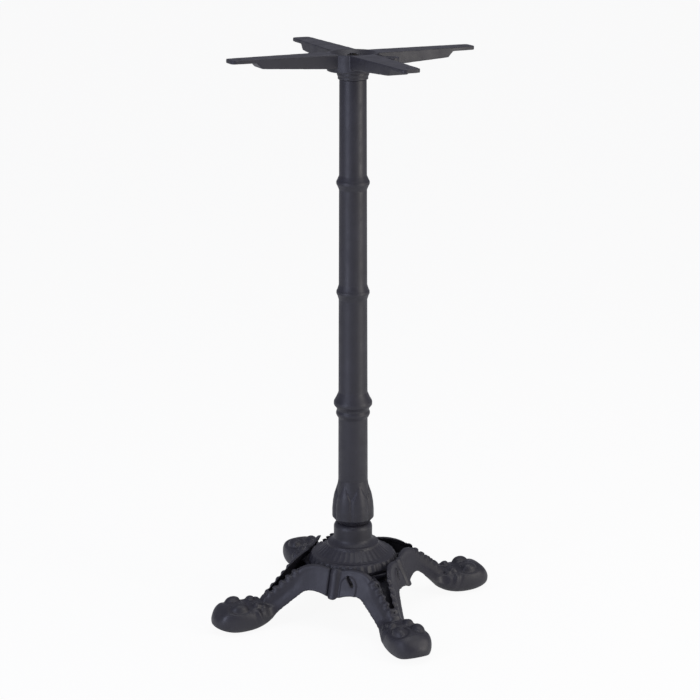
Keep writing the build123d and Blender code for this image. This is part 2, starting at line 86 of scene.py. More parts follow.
# Form of the paw: rings of (out, half width, lowest level, highest level), then lumps and a notch
PAW_RINGS = ((154, 22, 34, 43), (160, 24.8, 30.5, 44.4), (176, 31, 11.4, 44), (192, 35.1, 3.8, 45.2),
             (208, 38.2, -0.2, 46.8), (226, 39.7, -1.8, 50.6), (244, 39.7, -1.8, 52.2),
             (262, 35.6, 0.8, 50.2), (274, 28, 4.4, 42.2), (281, 17.5, 8.4, 32), (283.4, 6, 13, 24))
PAW_SIDES = 16
PAW_SQUARENESS = 0.7                  # 1 gives elliptical rings, less gives squarer ones
LOBE = (237.0, 18.0, 43.5)            # knuckle, one to each side
LOBE_RADII = (17.5, 13.5, 13.6)
TUFT = (203.5, 16.5, 44.5)            # tuft behind the instep, one to each side
TUFT_RADII = (9.5, 9.0, 8.5)
NOTCH = (216.5, 51.5, 7.5)            # notch across the instep: out, level and radius

# Relief of the walls: a pair runs from where something is nothing to where it is whole
WALL_SKIN = 9.0                       # behind a wall's outer face, what still belongs to the wall
FACE_SKIN = 2.5                       # and what belongs to that face
WALL_FADE = (188.0, 172.0)
EDGE_WAVE = Bump(-1.3, 0.0, 4.0)      # waves between the scallops, by depth below the edge
EDGE_WAVE_START = (-2.0, 4.0)         # along the edge, from the end of the hump
EDGE_BEAD = Bump(0.8, 3.5, 3.0)       # bead below the edge
CHANNEL = Bump(-1.5, 14.0, 5.0)       # shallow channel below the bead
CHANNEL_START = (118.0, 132.0)
RIM_SKIN = (3.5, 14.0)                # behind a wall's outer face, where its inner face lies
RIM_FALL = 2.8                        # how far the inner face is set back
RIM_DEPTH = (20.0, 9.0)
RIM_START = (96.0, 112.0)
RIM_FADE = (188.0, 176.0)
PIT = Bump(-2.4, 0.0, 2.6)            # pit in the rim at each scallop
PIT_INSET = 5.0                       # behind the wall's outer face
PIT_REACH = 6.0

# Relief of the paw
PAW_START = 189.0
RIB = ((197.0, 12.0), (207.0, 43.0))  # rib up the ankle: out and level of both ends
RIB_RIDGE = Bump(2.4, 0.0, 3.6)
RIB_GROOVE = Bump(-1.1, 8.0, 3.2)     # along both sides of the rib
RIB_SIDE = (16.0, 24.0)               # across the paw, whose top stays plain
RIB_LOW = (12.0, 22.0)
RIB_HIGH = (46.0, 40.0)
RIB_REACH = 226.0
LOBE_GROOVE = Bump(-2.8, 0.14, 0.13)  # round a knuckle, its place and width as shares of the knuckle
LOBE_GROOVE_FOOT = (35.0, 44.0)
TOE_HOLLOW = Bump(-1.5, 39.0, 8.0)    # hollow across the toe, by level
TOE_HOLLOW_START = (244.0, 258.0)
TOE_HOLLOW_HALF = 24.0
TOE_HOLLOW_FALL = 0.25                # fall of the hollow's line to each side

# Bounds that a leg is trimmed to
TOE_LIFT = 15.0                       # rise of the sole at the end of the toe
TOE_LIFT_RUN = (230.0, 284.0)
TOE_LIFT_CURVE = 1.5
RIDGE_ZONE = (10.5, 100.0, 66.0)      # lower end of a joint's ridge: to each side, out and level
RIDGE_HALF = 9.0
RIDGE_LOW = 59.0
RIDGE_ARCH = 4.5                      # rise of that end to each side
ANKLE_ZONE = (164.0, 194.0)
ANKLE_ROOM = 0.5                      # outside the walls' faces
ANKLE_FLARE = 20.0                    # growth of that room towards the paw
ANKLE_FLARE_RUN = (166.0, 192.0)
INSTEP_ZONE = (186.0, 196.0)
INSTEP_TOP = 46.5

# Softening of a carved leg: passes, stretch out along the leg, and highest level
SOFTENING = ((2, -inf, inf, inf), (4, 150, inf, inf), (8, 168, 196, inf), (18, 176, 206, 24))
JOINT_PASSES = 6
JOINT_REACH = 20.0                    # to each side of a joint

# Column in millimetres: outlines of (radius, level) points, which its lower end and its taper complete
CUP_FOOT = 29.3                       # radius of the cup behind the petals at its lower end
CUP = ((35, 183), (34.6, 203), (33.5, 216), (31.2, 230), (28.9, 245))
CUP_TOP = 260
CUP_SINK = 0.2                        # its top edge inside the taper
PETAL_FOOT = 29.4
PETAL = ((39.0, 184), (39.0, 200), (37.6, 215), (35.2, 229), (31.2, 241))
PETAL_END = (28.2, 0.1)               # radius of the last point, and its level above the tip
PETAL_CELLS = (14, 30)                # across and up
PETAL_POINT = 1.1                     # power by which a petal narrows to its tip
PETAL_CROWN = (0.06, 1.5)             # fall of a petal to its sides, as a share of the radius, and its power
PETAL_CREASE = (0.05, 10)             # the same for the crease between two petals
PETAL_WALL = 6.0
SHAFT_LOW = 215                       # inside the cup
BULGE_LOW = 378
BULGE = ((29.6, 382.5), (31.3, 386), (31.3, 389.5), (29.4, 394),
         (30.6, 398), (35.4, 404), (35.4, 410), (31, 418))
BULGE_TOP = 428
RINGS = ((617.0, 30.2, 14.0), (818.5, 30.0, 13.0))  # level, radius and half height
RING_FLAT = 2.4                       # half the flat round a ring
RING_SHOULDER = (1.6, 5.0)            # below the ring's radius, and to each side of its level
TAPER_TOP = 1003                      # level of the spider's collar
SHAFT_ROUND = 1.2                     # rounding of the shaft's corners
ROUND_SEGMENTS = 3
TURNED_STEPS = 128
COLUMN_SHARP = radians(50)            # edges that turn more than this stay sharp

# Merging distances in millimetres
NODE_MERGE = 0.005
NODE_SLIVER = 0.002
PETAL_MERGE = 0.05
SEAM_MERGE = 0.01

# Camera: the photo's frame and the sideways shift in it in pixels, and the sensor in millimetres
FRAME_WIDTH = 700
FRAME_SHIFT = -3
SENSOR_WIDTH = 36


def linear(code):
    """Linear colour for an sRGB hex value."""
    channels = [int(code[at:at + 2], 16) / 255 for at in (1, 3, 5)]
    return tuple(c / 12.92 if c <= 0.04045 else ((c + 0.055) / 1.055) ** 2.4 for c in channels)


class CastFinish(PropertyGroup):
    """Colours and roughness of the two finishes."""
    paint: FloatVectorProperty(
        name="Paint", description="Satin black stoving paint on the castings",
        subtype="COLOR", size=3, min=0, max=1, default=linear("#25242b"))
    paint_roughness: FloatProperty(
        name="Paint roughness", description="Mean roughness of the paint",
        subtype="FACTOR", min=0, max=1, default=0.48)
    steel: FloatVectorProperty(
        name="Steel", description="Black oxide on the rod, plate and fasteners",
        subtype="COLOR", size=3, min=0, max=1, default=linear("#4a4847"))


class CastSkin(PropertyGroup):
    """How soft the sand mould left the castings."""
    grain: FloatProperty(
        name="Skin cell", description="Cell of the skin drawn over the legs",
        unit="LENGTH", default=1.35 * MM)
    fine_grain: FloatProperty(
        name="Fine skin cell", description="Cell of the skin on the bell, the petals and the spider",
        unit="LENGTH", default=1.25 * MM)
    passes: IntProperty(
        name="Softening passes", description="Smoothing passes over the skin of the legs and the bell",
        default=6, min=0, max=30)
    light_passes: IntProperty(
        name="Light softening passes", description="Smoothing passes over the petals and the spider",
        default=2, min=0, max=30)


class ColumnSizes(PropertyGroup):
    """Sizes of the column's dressing."""
    foot_radius: FloatProperty(
        name="Foot radius", description="Radius of the taper at the neck",
        unit="LENGTH", default=27.8 * MM)
    top_radius: FloatProperty(
        name="Top radius", description="Radius of the taper under the spider",
        unit="LENGTH", default=24.2 * MM)
    bore: FloatProperty(
        name="Bore", description="Radius of the hollow", unit="LENGTH", default=18 * MM)
    petals: IntProperty(
        name="Petals", description="Petals round the foot", default=6, min=3, max=12)
    petal_tip: FloatProperty(
        name="Petal tip", description="Level of the petals' tips", unit="LENGTH", default=251 * MM)
    petal_valley: FloatProperty(
        name="Petal valley", description="Level where two petals meet", unit="LENGTH", default=220 * MM)


class StageSizes(PropertyGroup):
    """Camera and light."""
    distance: FloatProperty(
        name="Distance", description="Level distance from the column to the camera",
        unit="LENGTH", default=3.499)
    height: FloatProperty(
        name="Height", description="Camera above the floor", unit="LENGTH", default=1.517)
    azimuth: FloatProperty(
        name="Azimuth", description="Turn of the camera about the column",
        subtype="ANGLE", default=radians(-24.75))
    pitch: FloatProperty(
        name="Pitch", description="Camera below the horizon", subtype="ANGLE", default=radians(16.10))
    lens: FloatProperty(
        name="Lens", description="Focal length on a 36 mm sensor, in millimetres", default=102.5)
    left_power: FloatProperty(
        name="Left power", description="Soft box to the camera's left", unit="POWER", default=32)
    right_power: FloatProperty(
        name="Right power", description="Soft box to the camera's right", unit="POWER", default=34)
    top_power: FloatProperty(
        name="Top power", description="Soft box above the table base", unit="POWER", default=28)
    fill: FloatProperty(
        name="Fill", description="Strength of the light from all round", min=0, default=0.40)


def add_node(tree, kind, settings=None, links=None):
    """Adds a node, sets its values and links its inputs."""
    made = tree.nodes.new(kind)
    for name, value in (settings or {}).items():
        if isinstance(name, str) and hasattr(made, name):
            setattr(made, name, value)
        else:
            made.inputs[name].default_value = value
    for name, source in (links or {}).items():
        tree.links.new(source, made.inputs[name])
    return made


def new_material(name):
    """An empty node material."""
    made = bpy.data.materials.new(name)
    made.use_nodes = True
    made.node_tree.nodes.clear()
    return made


def satin_black_iron():
    """Satin black paint on sand-cast iron.

    The thin paint keeps the mould's grit and slow waves, so its gloss breaks up.
    """
    finish = bpy.context.scene.base_finish
    made = new_material("satin_black_iron")
    tree = made.node_tree
    place = add_node(tree, "ShaderNodeTexCoord").outputs["Object"]
    # Real moulding sand is finer: the grit is coarse enough to show
    grit_size, wave_size, patch_size = 1.6 * MM, 22 * MM, 60 * MM
    grit = add_node(tree, "ShaderNodeTexNoise",
                    {"Scale": 1 / grit_size, "Detail": 3.0, "Roughness": 0.6}, {"Vector": place})
    wave = add_node(tree, "ShaderNodeTexNoise",
                    {"Scale": 1 / wave_size, "Detail": 2.0, "Roughness": 0.5}, {"Vector": place})
    patch = add_node(tree, "ShaderNodeTexNoise",
                     {"Scale": 1 / patch_size, "Detail": 4.0, "Roughness": 0.62}, {"Vector": place})
    colour = add_node(tree, "ShaderNodeValToRGB", {}, {"Fac": patch.outputs["Fac"]})
    deep, dull = colour.color_ramp.elements
    deep.position = 0.32
    deep.color = tuple(c * 0.82 for c in finish.paint) + (1,)
    dull.position = 0.70
    dull.color = tuple(min(1, c * 1.22) for c in finish.paint) + (1,)
    rough = add_node(tree, "ShaderNodeMapRange",
                     {"From Min": 0.3, "From Max": 0.7, "To Min": finish.paint_roughness - 0.05,
                      "To Max": finish.paint_roughness + 0.07}, {"Value": wave.outputs["Fac"]})
    slow = add_node(tree, "ShaderNodeBump", {"Strength": 0.5, "Distance": 0.6 * MM},
                    {"Height": wave.outputs["Fac"]})
    fine = add_node(tree, "ShaderNodeBump", {"Strength": 0.35, "Distance": 0.18 * MM},
                    {"Height": grit.outputs["Fac"], "Normal": slow.outputs["Normal"]})
    skin = add_node(tree, "ShaderNodeBsdfPrincipled", {"IOR": 1.5},
                    {"Base Color": colour.outputs["Color"], "Roughness": rough.outputs["Result"],
                     "Normal": fine.outputs["Normal"]})
    add_node(tree, "ShaderNodeOutputMaterial", {}, {"Surface": skin.outputs["BSDF"]})
    return made


def black_oxide_steel():
    """Turned and pressed steel, blackened in a hot bath: dark metal with a cloudy, slightly brown sheen."""
    finish = bpy.context.scene.base_finish
    made = new_material("black_oxide_steel")
    tree = made.node_tree
    place = add_node(tree, "ShaderNodeTexCoord").outputs["Object"]
    # Clouds from the bath, and turning marks up the axis, coarser than real ones so that they show
    cloud_size, mark_pitch = 5 * MM, 1.381 * MM
    cloud = add_node(tree, "ShaderNodeTexNoise", {"Scale": 1 / cloud_size, "Detail": 3.0},
                     {"Vector": place})
    # A Wave texture of scale 1 repeats every pi / 10
    marks = add_node(tree, "ShaderNodeTexWave",
                     {"bands_direction": "Z", "Scale": pi / 10 / mark_pitch, "Distortion": 1.5,
                      "Detail": 2.0}, {"Vector": place})
    bright = tuple(finish.steel) + (1,)
    shade = tuple(c * 0.6 for c in finish.steel) + (1,)
    colour = add_node(tree, "ShaderNodeMix", {"data_type": "RGBA", 6: shade, 7: bright},
                      {"Factor": cloud.outputs["Fac"]})
    rough = add_node(tree, "ShaderNodeMapRange", {"To Min": 0.32, "To Max": 0.5},
                     {"Value": cloud.outputs["Fac"]})
    bump = add_node(tree, "ShaderNodeBump", {"Strength": 0.25, "Distance": 0.05 * MM},
                    {"Height": marks.outputs["Fac"]})
    skin = add_node(tree, "ShaderNodeBsdfPrincipled", {"Metallic": 1.0},
                    {"Base Color": colour.outputs[2], "Roughness": rough.outputs["Result"],
                     "Normal": bump.outputs["Normal"]})
    add_node(tree, "ShaderNodeOutputMaterial", {}, {"Surface": skin.outputs["BSDF"]})
    return made


def finish_from(maker):
    """The material that maker makes and names after itself, made once."""
    return bpy.data.materials.get(maker.__name__) or maker()


def node_copy(name):
    """A merged copy of a CAD node's mesh."""
    copy = bmesh.new()
    copy.from_mesh(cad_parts[name].data)
    bmesh.ops.remove_doubles(copy, verts=copy.verts, dist=NODE_MERGE * MM)
    bmesh.ops.dissolve_degenerate(copy, edges=copy.edges, dist=NODE_SLIVER * MM)
    return copy


def baked(body, modifiers):
    """The mesh that body becomes under modifiers of (type, settings)."""
    mesh = bpy.data.meshes.new("raw")
    body.to_mesh(mesh)
    body.free()
    raw = bpy.data.objects.new("raw", mesh)
    bpy.context.scene.collection.objects.link(raw)
    for kind, settings in modifiers:
        modifier = raw.modifiers.new(kind.lower(), kind)
        for name, value in settings.items():
            setattr(modifier, name, value)
    done = bpy.data.meshes.new_from_object(raw.evaluated_get(bpy.context.evaluated_depsgraph_get()))
    bpy.data.objects.remove(raw)
    bpy.data.meshes.remove(mesh)
    return done


def drop_specks(body):
    """Keeps the largest shell, without the specks that a skin leaves in narrow gaps."""
    left = set(body.faces)
    shells = []
    while left:
        shell = [left.pop()]
        for face in shell:
            near = {other for edge in face.edges for other in edge.link_faces} & left
            left -= near
            shell.extend(near)
        shells.append(shell)
    for shell in sorted(shells, key=len)[:-1]:
        bmesh.ops.delete(body, geom=shell, context="FACES")
    body.verts.index_update()


def cast_skin(body, cell, passes):
    """Draws one closed skin over everything in body, with the soft edges that a sand mould leaves."""
    done = baked(body, (("REMESH", {"mode": "VOXEL", "voxel_size": cell}),
                        ("SMOOTH", {"factor": 0.5, "iterations": passes})))
    made = bmesh.new()
    made.from_mesh(done)
    bpy.data.meshes.remove(done)
    drop_specks(made)
    return made


def finish_casting(node, body, sharp=None):
    """Makes a painted piece of body, riding on the base in place of its CAD node."""
    mesh = bpy.data.meshes.new(node + "_casting")
    body.to_mesh(mesh)
    body.free()
    mesh.shade_smooth()
    if sharp is not None:
        mesh.set_sharp_from_angle(angle=sharp)
    mesh.materials.clear()
    mesh.materials.append(finish_from(satin_black_iron))
    piece = bpy.data.objects.new(node + "_casting", mesh)
    bpy.context.scene.collection.objects.link(piece)
    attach(piece, "root")
    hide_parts(node)


def ball(body, place, radii):
    """A rounded lump with those half sizes at place, both in millimetres."""
    size = Matrix.Diagonal((*(radius * MM for radius in radii), 1))
    at = Matrix.Translation(Vector(place) * MM)
    bmesh.ops.create_icosphere(body, subdivisions=3, radius=1, matrix=at @ size)


def add_paw(body):
    """The paw's rounded body, knuckles and tufts, on a leg that points along +X."""
    cage = bmesh.new()
    rings = []
    for out, half, low, high in PAW_RINGS:
        ring = bmesh.ops.create_circle(cage, segments=PAW_SIDES, radius=1)["verts"]
        for vert in ring:
            across, rise = (abs(c) ** PAW_SQUARENESS * (1 if c > 0 else -1) for c in vert.co.xy)
            vert.co = Vector((out, across * half, (low + high) / 2 + rise * (high - low) / 2)) * MM
        rings.append(list(dict.fromkeys(edge for vert in ring for edge in vert.link_edges)))
    for ring, after in zip(rings, rings[1:]):
        bmesh.ops.bridge_loops(cage, edges=ring + after)
    bmesh.ops.holes_fill(cage, edges=cage.edges, sides=0)
    bmesh.ops.recalc_face_normals(cage, faces=cage.faces)
    rounded = baked(cage, [("SUBSURF", {"levels": 3, "render_levels": 3})])
    body.from_mesh(rounded)
    bpy.data.meshes.remove(rounded)
    for side in (1, -1):
        ball(body, (LOBE[0], side * LOBE[1], LOBE[2]), LOBE_RADII)
        ball(body, (TUFT[0], side * TUFT[1], TUFT[2]), TUFT_RADII)


def wall_half(out, level):
    """Half width of a leg over its walls."""
    centre = WALL_CENTRE / 2 ** 0.5
    reach = WALL_ARC + WALL_LEAN * (level - WALL_LEVEL)
    return centre - (reach ** 2 - (centre - out) ** 2) ** 0.5


def below_edge(out, level):
    """How far a point of a wall is below the leg's humped and falling upper edge."""
    out, level = out - HUMP[0], level - HUMP[1]
    if out * cos(SLOPE) > level * sin(SLOPE):
        return HUMP[2] - out * sin(SLOPE) - level * cos(SLOPE)
    return HUMP[2] - (out ** 2 + level ** 2) ** 0.5


def ramp(value, start, end):
    """0 at start, 1 at end, and straight between them."""
    return min(1.0, max(0.0, (value - start) / (end - start)))


def wall_relief(spot):
    """Rise of a wall: waves along its edge, and on its outer face a bead and a shallow channel below it."""
    inside = wall_half(spot.x, spot.z) - abs(spot.y)
    if inside > WALL_SKIN:
        return 0.0
    depth = below_edge(spot.x, spot.z)
    run = (spot.x - HUMP[0]) * cos(SLOPE) - (spot.z - HUMP[1]) * sin(SLOPE)
    rise = EDGE_WAVE.at(depth) * cos(2 * pi * run / SCALLOP_PITCH) * ramp(run, *EDGE_WAVE_START)
    if inside < FACE_SKIN:
        rise += EDGE_BEAD.at(depth) + CHANNEL.at(depth) * ramp(spot.x, *CHANNEL_START)
    return rise * ramp(spot.x, *WALL_FADE)


def rim_relief(spot, normal):
    """Fall of a wall's inner face below its edge, which leaves the rim thin and the trough open."""
    inside = wall_half(spot.x, spot.z) - abs(spot.y)
    if not RIM_SKIN[0] < inside < RIM_SKIN[1] or normal.y * spot.y >= 0:
        return 0.0
    depth = ramp(below_edge(spot.x, spot.z), *RIM_DEPTH)
    return -RIM_FALL * abs(normal.y) * depth * ramp(spot.x, *RIM_START) * ramp(spot.x, *RIM_FADE)


def paw_relief(spot):
    """Rise of the paw: rib up the ankle, grooves round the knuckles and a hollow across the toe."""
    rise = 0.0
    side = ramp(abs(spot.y), *RIB_SIDE)
    if side and spot.x < RIB_REACH:
        (foot, low), (head, high) = RIB
        run = Vector((head - foot, high - low)).normalized()
        away = (spot.x - foot) * run.y - (spot.z - low) * run.x
        along = ramp(spot.z, *RIB_LOW) * ramp(spot.z, *RIB_HIGH)
        rise += side * along * (RIB_RIDGE.at(away) + RIB_GROOVE.at(abs(away)))
    for turn in (1, -1):
        away = Vector((spot.x - LOBE[0], spot.y - turn * LOBE[1], spot.z - LOBE[2]))
        near = Vector(away[axis] / LOBE_RADII[axis] for axis in range(3)).length - 1
        rise += LOBE_GROOVE.at(near) * ramp(spot.z, *LOBE_GROOVE_FOOT)
    across = exp(-(spot.y / TOE_HOLLOW_HALF) ** 4)
    hollow = TOE_HOLLOW.at(spot.z + TOE_HOLLOW_FALL * abs(spot.y))
    return rise + hollow * across * ramp(spot.x, *TOE_HOLLOW_START)


def carve_relief(body):
    """Raises and sinks a leg's skin along its normals, and cuts the notch across the instep."""
    body.normal_update()
    notch, notch_level, notch_radius = NOTCH
    moves = {}
    for vert in body.verts:
        spot = vert.co / MM
        rise = 0.0
        if spot.x < WALL_FADE[0]:
            rise += wall_relief(spot) + rim_relief(spot, vert.normal)
        elif spot.x > PAW_START:
            rise += paw_relief(spot)
        if rise:
            moves[vert] = vert.co + vert.normal * rise * MM
        away = spot.x - notch
        if abs(away) < notch_radius:
            place = moves.setdefault(vert, vert.co.copy())
            place.z = min(place.z, (notch_level - (notch_radius ** 2 - away ** 2) ** 0.5) * MM)
    for vert, place in moves.items():
        vert.co = place


def sink_pits(body):
    """Sinks a pit into both rims of a leg at each scallop."""
    points = kdtree.KDTree(len(body.verts))
    body.verts.ensure_lookup_table()
    for vert in body.verts:
        points.insert(vert.co, vert.index)
    points.balance()
    body.normal_update()
    start = Vector((HUMP[0] + HUMP[2] * sin(SLOPE), 0, HUMP[1] + HUMP[2] * cos(SLOPE)))
    for step in range(SCALLOPS):
        at = start + Vector((cos(SLOPE), 0, -sin(SLOPE))) * SCALLOP_PITCH * step
        for side in (1, -1):
            at.y = side * (wall_half(at.x, at.z) - PIT_INSET)
            for _, index, distance in points.find_range(at * MM, PIT_REACH * MM):
                vert = body.verts[index]
                vert.co += vert.normal * PIT.at(distance / MM) * MM


def trim_leg(body):
    """Lifts the toe's sole, arches the lower end of the ridges, and slims the ankle and the instep."""
    ridge_side, ridge_out, ridge_top = RIDGE_ZONE
    for vert in body.verts:
        out, across = vert.co.x / MM, abs(vert.co.y) / MM
        floor = TOE_LIFT * ramp(out, *TOE_LIFT_RUN) ** TOE_LIFT_CURVE
        beside = (out - across) / 2 ** 0.5
        if abs(beside) < ridge_side and out < ridge_out and vert.co.z < ridge_top * MM:
            floor = RIDGE_LOW + RIDGE_ARCH * (beside / RIDGE_HALF) ** 2
        vert.co.z = max(vert.co.z, floor * MM)
        if ANKLE_ZONE[0] < out < ANKLE_ZONE[1]:
            room = ANKLE_ROOM + ANKLE_FLARE * ramp(out, *ANKLE_FLARE_RUN) ** 2
            half = (wall_half(out, vert.co.z / MM) + room) * MM
            vert.co.y = max(-half, min(half, vert.co.y))
        if INSTEP_ZONE[0] < out < INSTEP_ZONE[1]:
            vert.co.z = min(vert.co.z, INSTEP_TOP * MM)


def soften(body, verts, passes):
    """Rubs those points smooth, as the mould's sand does."""
    for _ in range(passes):
        bmesh.ops.smooth_vert(body, verts=verts, factor=0.5,
                              use_axis_x=True, use_axis_y=True, use_axis_z=True)


def soften_leg(body):
    """Softens a carved leg, most of all at its ankle and its joints."""
    for passes, start, end, top in SOFTENING:
        stretch = [vert for vert in body.verts
                   if start * MM < vert.co.x < end * MM and vert.co.z < top * MM]
        soften(body, stretch, passes)
    joints = [vert for vert in body.verts if abs(vert.co.x - abs(vert.co.y)) < JOINT_REACH * MM]
    soften(body, joints, JOINT_PASSES)


def turn_leg(body, degrees):
    """Turns a leg about the column's axis."""
    turn = Matrix.Rotation(radians(degrees), 3, "Z")
    bmesh.ops.rotate(body, cent=(0, 0, 0), matrix=turn, verts=body.verts)


class TABLEBASE_OT_legs(Operator):
    """Draws the sand-cast skin over the four leg castings, with their paws."""
    bl_idname = "tablebase.legs"
    bl_label = "Leg castings"

    def execute(self, context):
        skin = context.scene.base_skin
        for pattern, twin in (("leg_right", "leg_left"), ("leg_front", "leg_back")):
            body = node_copy(pattern)
            turn_leg(body, -LEGS[pattern])
            add_paw(body)
            body = cast_skin(body, skin.grain, skin.passes)
            carve_relief(body)
            sink_pits(body)
            trim_leg(body)
            soften_leg(body)
            for node in (pattern, twin):
                copy = body.copy()
                turn_leg(copy, LEGS[node])
                finish_casting(node, copy)
            body.free()
        return {"FINISHED"}


class TABLEBASE_OT_bell(Operator):
    """Draws the sand-cast skin over the fluted bell."""
    bl_idname = "tablebase.bell"
    bl_label = "Bell casting"

    def execute(self, context):
        skin = context.scene.base_skin
        finish_casting("bell", cast_skin(node_copy("bell"), skin.fine_grain, skin.passes))
        return {"FINISHED"}


def scaled(points):
    """An outline in metres, of points in millimetres."""
    return [(radius * MM, level * MM) for radius, level in points]


def turned(body, outline, round_over=0.0):
    """Spins a closed outline of (radius, level) points about the column's axis into body."""
    verts = [body.verts.new((radius, 0, level)) for radius, level in outline]
    edges = [body.edges.new((verts[at - 1], verts[at])) for at in range(len(verts))]
    if round_over:
        bevelled = bmesh.ops.bevel(body, geom=verts, offset=round_over, offset_type="OFFSET",
                                   affect="VERTICES", segments=ROUND_SEGMENTS, profile=0.5, material=-1)
        kept = [vert for vert in verts if vert.is_valid]
        verts = list(dict.fromkeys(bevelled["verts"] + kept))
        edges = list(dict.fromkeys(edge for vert in verts for edge in vert.link_edges))
    bmesh.ops.spin(body, geom=verts + edges, cent=(0, 0, 0), axis=(0, 0, 1), angle=2 * pi,
                   steps=TURNED_STEPS, use_merge=True)
    bmesh.ops.recalc_face_normals(body, faces=body.faces)


def radius_at(outline, level):
    """Radius of an outline of (radius, level) points at a level."""
    for (radius, low), (next_radius, high) in zip(outline, outline[1:]):
        if level <= high:
            return radius + (next_radius - radius) * (level - low) / (high - low)
    return outline[-1][0]


def leaf(body, turn, outline, sizes):
    """One pointed petal, towards turn: a bent sheet over an outline, thickened inwards."""
    across, up = PETAL_CELLS
    made = bmesh.ops.create_grid(body, x_segments=across, y_segments=up, size=1)
    half_turn = pi / sizes.petals
    low = outline[0][1]
    for vert in made["verts"]:
        level = low + (sizes.petal_tip - low) * (vert.co.y + 1) / 2
        narrow = max(0.0, (level - sizes.petal_valley) / (sizes.petal_tip - sizes.petal_valley))
        angle = vert.co.x * half_turn * (1 - narrow ** PETAL_POINT)
        edge = abs(angle) / half_turn
        fall = sum(share * edge ** power for share, power in (PETAL_CROWN, PETAL_CREASE))
        radius = radius_at(outline, level) * (1 - fall)
        vert.co = Vector((radius * cos(turn + angle), radius * sin(turn + angle), level))
    faces = list(dict.fromkeys(face for vert in made["verts"] for face in vert.link_faces))
    bmesh.ops.remove_doubles(body, verts=made["verts"], dist=PETAL_MERGE * MM)
    faces = [face for face in faces if face.is_valid]
    bmesh.ops.recalc_face_normals(body, faces=faces)
    outwards = Vector((cos(turn), sin(turn), 0))
    if sum(face.normal.dot(outwards) for face in faces) < 0:
        bmesh.ops.reverse_faces(body, faces=faces)
    bmesh.ops.solidify(body, geom=faces, thickness=PETAL_WALL * MM)


class TABLEBASE_OT_column(Operator):
    """Turns the tapered shaft with its rings and grows the petals at its foot."""
    bl_idname = "tablebase.column"
    bl_label = "Column casting"

    def execute(self, context):
        skin = context.scene.base_skin
        sizes = context.scene.base_column
        low, high = (corner.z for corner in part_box("column"))
        slope = (sizes.top_radius - sizes.foot_radius) / (high - low)

        def taper(level):
            return sizes.foot_radius + slope * (level * MM - low)

        lotus = bmesh.new()
        cup = [(sizes.bore, low), (CUP_FOOT * MM, low), *scaled(CUP)]
        cup += [(taper(CUP_TOP) - CUP_SINK * MM, CUP_TOP * MM), (sizes.bore, CUP_TOP * MM)]
        turned(lotus, cup)
        end_radius, end_rise = PETAL_END
        petal = [(PETAL_FOOT * MM, low), *scaled(PETAL)]
        petal += [(end_radius * MM, sizes.petal_tip + end_rise * MM)]
        for number in range(sizes.petals):
            leaf(lotus, (2 * number + 1) * pi / sizes.petals, petal, sizes)
        body = cast_skin(lotus, skin.fine_grain, skin.light_passes)

        shaft = [(sizes.bore, SHAFT_LOW * MM), (taper(SHAFT_LOW), SHAFT_LOW * MM)]
        shaft += [(taper(BULGE_LOW), BULGE_LOW * MM), *scaled(BULGE), (taper(BULGE_TOP), BULGE_TOP * MM)]
        shoulder_fall, shoulder_half = RING_SHOULDER
        for level, radius, half_height in RINGS:
            foot, head = level - half_height, level + half_height
            crest = ((radius - shoulder_fall, level - shoulder_half), (radius, level - RING_FLAT),
                     (radius, level + RING_FLAT), (radius - shoulder_fall, level + shoulder_half))
            shaft += [(taper(foot), foot * MM), *scaled(crest), (taper(head), head * MM)]
        shaft += [(taper(TAPER_TOP), high), (sizes.bore, high)]
        turned(body, shaft, SHAFT_ROUND * MM)
        bmesh.ops.remove_doubles(body, verts=body.verts, dist=SEAM_MERGE * MM)
        finish_casting("column", body, COLUMN_SHARP)
        return {"FINISHED"}


class TABLEBASE_OT_spider(Operator):
    """Draws the sand-cast skin over the cross that carries the top."""
    bl_idname = "tablebase.spider"
    bl_label = "Top spider casting"

    def execute(self, context):
        skin = context.scene.base_skin
        body = cast_skin(node_copy("top_spider"), skin.fine_grain, skin.light_passes)
        finish_casting("top_spider", body)
        return {"FINISHED"}


class TABLEBASE_OT_hardware(Operator):
    """Blackens the rod, the clamp plate and the fasteners."""
    bl_idname = "tablebase.hardware"
    bl_label = "Steel hardware"

    def execute(self, context):
        for node in STEEL_NODES:
            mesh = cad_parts[node].data
            mesh.materials.clear()
            mesh.materials.append(finish_from(black_oxide_steel))
        return {"FINISHED"}


def pale_studio_floor():
    """Matt white studio floor: white to the camera and in reflections, with a soft shadow left in it."""
    made = new_material("pale_studio_floor")
    tree = made.node_tree
    mirrored_share, glow_share = 0.4, 0.93
    path = add_node(tree, "ShaderNodeLightPath")
    glossy = add_node(tree, "ShaderNodeMath", {"operation": "MULTIPLY", 1: mirrored_share},
                      {0: path.outputs["Is Glossy Ray"]})
    seen = add_node(tree, "ShaderNodeMath", {"operation": "MAXIMUM"},
                    {0: path.outputs["Is Camera Ray"], 1: glossy.outputs[0]})
    seen = add_node(tree, "ShaderNodeMath", {"operation": "MAXIMUM"},
                    {0: seen.outputs[0], 1: path.outputs["Is Transmission Ray"]})
    share = add_node(tree, "ShaderNodeMath", {"operation": "MULTIPLY", 1: glow_share},
                     {0: seen.outputs[0]})
    matt = add_node(tree, "ShaderNodeBsdfDiffuse", {"Color": linear("#f4f4f3") + (1,)})
    glow = add_node(tree, "ShaderNodeEmission", {"Color": (1, 1, 1, 1), "Strength": 1.0})
    both = add_node(tree, "ShaderNodeMixShader", {},
                    {0: share.outputs[0], 1: matt.outputs[0], 2: glow.outputs[0]})
    add_node(tree, "ShaderNodeOutputMaterial", {}, {"Surface": both.outputs[0]})
    return made


